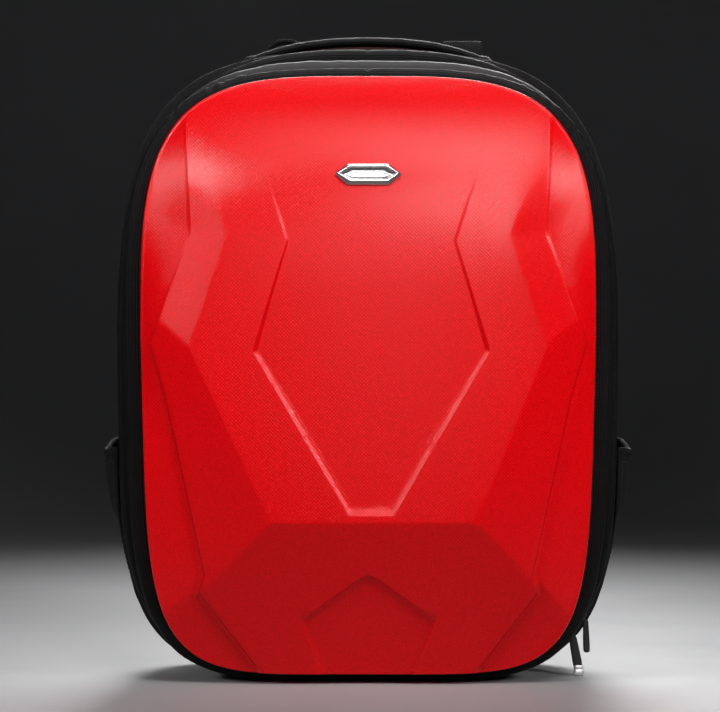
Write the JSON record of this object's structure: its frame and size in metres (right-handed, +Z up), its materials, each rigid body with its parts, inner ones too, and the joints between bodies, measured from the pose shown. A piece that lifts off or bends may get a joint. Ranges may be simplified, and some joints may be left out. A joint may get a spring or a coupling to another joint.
{
  "type": "motorcycle backpack",
  "caption": "Hard-shell motorcycle backpack: hollow faceted red shell with a zipped gusset on a black textile body, padded shoulder straps, carrying handle and open side pockets.",
  "frame": {"origin": "middle of the base of the bounding box, on the ground that the bag stands on", "axes": "+Z up, -Y out of the shell's face, +X to the right of someone looking at the shell"},
  "size_m": [0.37, 0.2476, 0.4466],
  "materials": {
    "red_shell": "satin red with a fine woven emboss",
    "chrome": "polished",
    "piping": "ribbed black edging",
    "satin_cloth": "smooth coated black cloth",
    "zip_tape": "black coil zip on woven tape",
    "body_cloth": "plain woven black cloth",
    "maroon_cloth": "dark red-brown cloth",
    "webbing": "ribbed black webbing",
    "black_plastic": "fine satin"
  },
  "bodies": {
    "root": {"shell": "red_shell", "badge": "chrome", "front_roll": "piping", "front_gusset": "satin_cloth", "zip_chain": "zip_tape", "mid_roll": "piping", "body": "body_cloth", "side_pocket_left": "body_cloth", "side_pocket_right": "body_cloth", "back_roll": "piping", "back_pad": "body_cloth", "yoke": "maroon_cloth", "handle": "body_cloth", "shoulder_strap_left": "body_cloth", "shoulder_strap_right": "body_cloth", "strap_loop_left": "webbing", "strap_loop_right": "webbing", "strap_webbing_left": "webbing", "strap_webbing_right": "webbing", "strap_buckle_left": "black_plastic", "strap_buckle_right": "black_plastic", "zip_slider_lower": "black_plastic", "zip_slider_upper": "black_plastic", "zip_pull_lower": "black_plastic", "zip_pull_upper": "black_plastic", "pull_tip": "chrome"}
  },
  "joints": []
}
